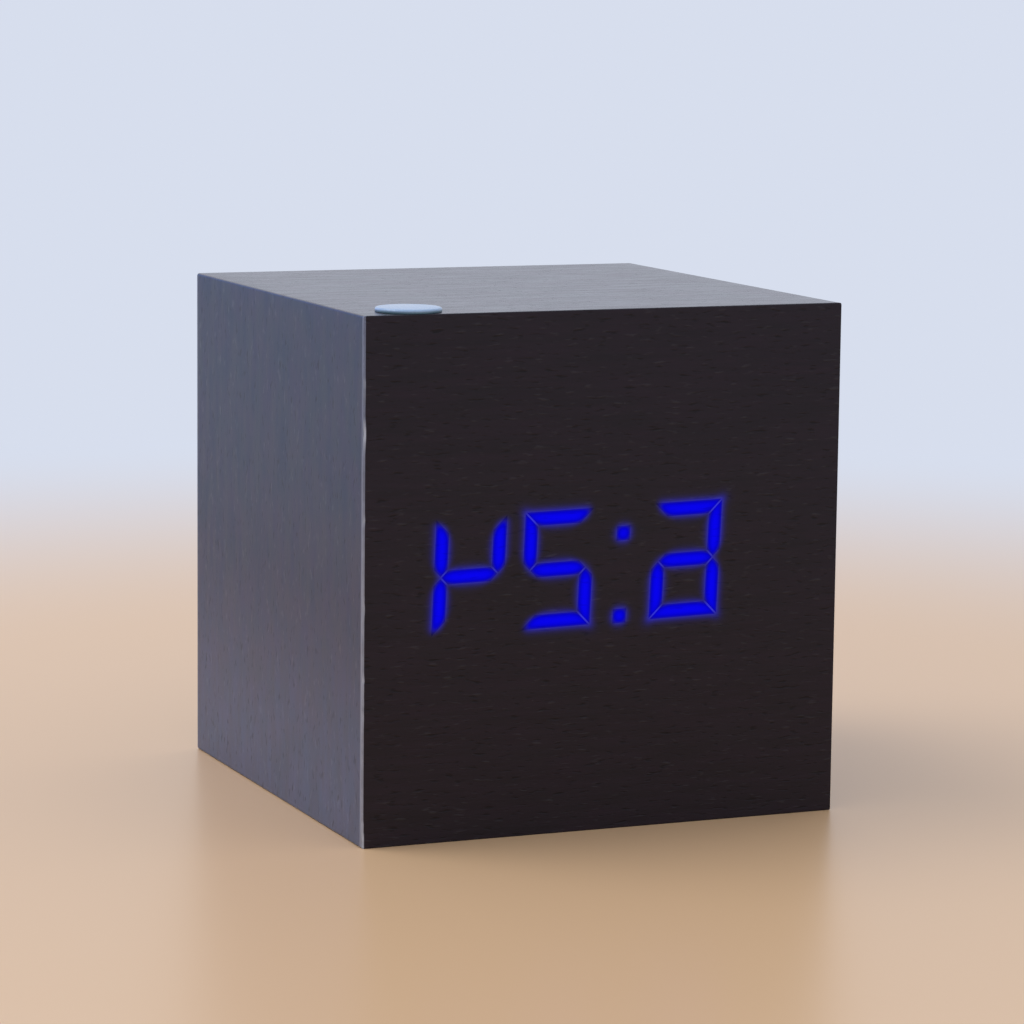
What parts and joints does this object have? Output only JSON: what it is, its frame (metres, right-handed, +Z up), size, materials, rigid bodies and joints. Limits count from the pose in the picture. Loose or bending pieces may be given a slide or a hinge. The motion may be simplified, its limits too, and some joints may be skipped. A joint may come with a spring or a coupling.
{
  "type": "digital led desk clock",
  "caption": "Black wood-grain cube desk clock whose blue seven-segment read-out shines through the front skin, with rear buttons, power jack and a battery door in the base.",
  "frame": {"origin": "middle of the base, on the surface that the clock stands on", "axes": "+Z up, +X to the right seen from the front, the read-out faces -Y"},
  "size_m": [0.06, 0.06, 0.0616],
  "materials": {
    "black_wood_top": "satin black wood-grain foil on fibreboard",
    "black_wood_base": "satin black wood-grain foil on fibreboard",
    "black_wood_side": "satin black wood-grain foil, grain upright",
    "black_wood_front": "thin black wood-grain film, grain level",
    "black_wood_rear": "satin black wood-grain foil",
    "raw_fibreboard": "raw sawn fibreboard",
    "lit_blue": "film lit from behind, pure blue",
    "white_plastic": "moulded white",
    "milky_resin": "milky cast resin",
    "led_lens": "clear chip lens",
    "circuit_board": "green solder mask",
    "plated_screw": "zinc plated",
    "black_screw": "black oxide",
    "ribbon_grey": "grey flat cable",
    "black_plastic": "moulded black",
    "button_plastic": "satin black cap",
    "switch_plunger": "moulded black",
    "jack_plastic": "moulded black nylon",
    "contact_metal": "nickel plated",
    "sensor_glass": "black bead",
    "chip_epoxy": "moulded epoxy",
    "cell_steel": "bright steel can",
    "capacitor_sleeve": "dark blue sleeve",
    "ceramic_chip": "tan ceramic",
    "tray_plastic": "textured black moulding",
    "cell_jacket": "plain grey jacket, no lettering",
    "socket_nylon": "natural nylon",
    "black_wire": "insulated lead",
    "red_wire": "insulated lead",
    "pale_dot": "pale blue-white dot"
  },
  "bodies": {
    "case": {"top_panel": "black_wood_top", "bottom_panel": "black_wood_base", "left_side_panel": "black_wood_side", "right_side_panel": "black_wood_side", "front_board": "raw_fibreboard", "front_skin": "black_wood_front", "lit_segments": "lit_blue", "reflector_block": "white_plastic", "segment_diffusers": "milky_resin", "led_chips": "led_lens", "display_board": "circuit_board", "display_spacers": "white_plastic", "display_screws": "plated_screw", "ribbon_cable": "ribbon_grey", "ribbon_plugs": "black_plastic", "main_board": "circuit_board", "board_spacers": "white_plastic", "board_screws": "plated_screw", "rear_panel": "black_wood_rear", "corner_blocks": "raw_fibreboard", "rear_screws": "black_screw", "button_switches": "black_plastic", "power_jack": "jack_plastic", "jack_pin": "contact_metal", "room_sensor": "sensor_glass", "controller_chip": "chip_epoxy", "display_driver_chip": "chip_epoxy", "chip_pins": "contact_metal", "coin_cell_holder": "black_plastic", "coin_cell": "cell_steel", "buzzer": "black_plastic", "microphone": "cell_steel", "capacitor": "capacitor_sleeve", "clock_crystal": "cell_steel", "small_parts": "ceramic_chip", "battery_tray": "tray_plastic", "battery_cells": "cell_jacket", "negative_terminal": "contact_metal", "positive_terminal": "contact_metal", "cell_links": "contact_metal", "lead_socket": "socket_nylon", "black_lead": "black_wire", "red_lead": "red_wire", "tap_dot": "pale_dot"},
    "down_button": {"down_button": "button_plastic", "down_plunger": "switch_plunger"},
    "up_button": {"up_button": "button_plastic", "up_plunger": "switch_plunger"},
    "set_button": {"set_button": "button_plastic", "set_plunger": "switch_plunger"},
    "door": {"battery_door": "tray_plastic"}
  },
  "joints": [
    {"name": "down_press", "type": "slide", "parent": "case", "child": "down_button", "axis": [0, -1, 0], "range_m": [0, 0.00025], "stiffness_N_per_m": 300},
    {"name": "up_press", "type": "slide", "parent": "case", "child": "up_button", "axis": [0, -1, 0], "range_m": [0, 0.00025], "stiffness_N_per_m": 300},
    {"name": "set_press", "type": "slide", "parent": "case", "child": "set_button", "axis": [0, -1, 0], "range_m": [0, 0.00025], "stiffness_N_per_m": 300},
    {"name": "door_swing", "type": "hinge", "parent": "case", "child": "door", "pos_m": [-0.0247, -0.0026, 0.0003], "axis": [0, 1, 0], "range_deg": [0, 90]}
  ]
}
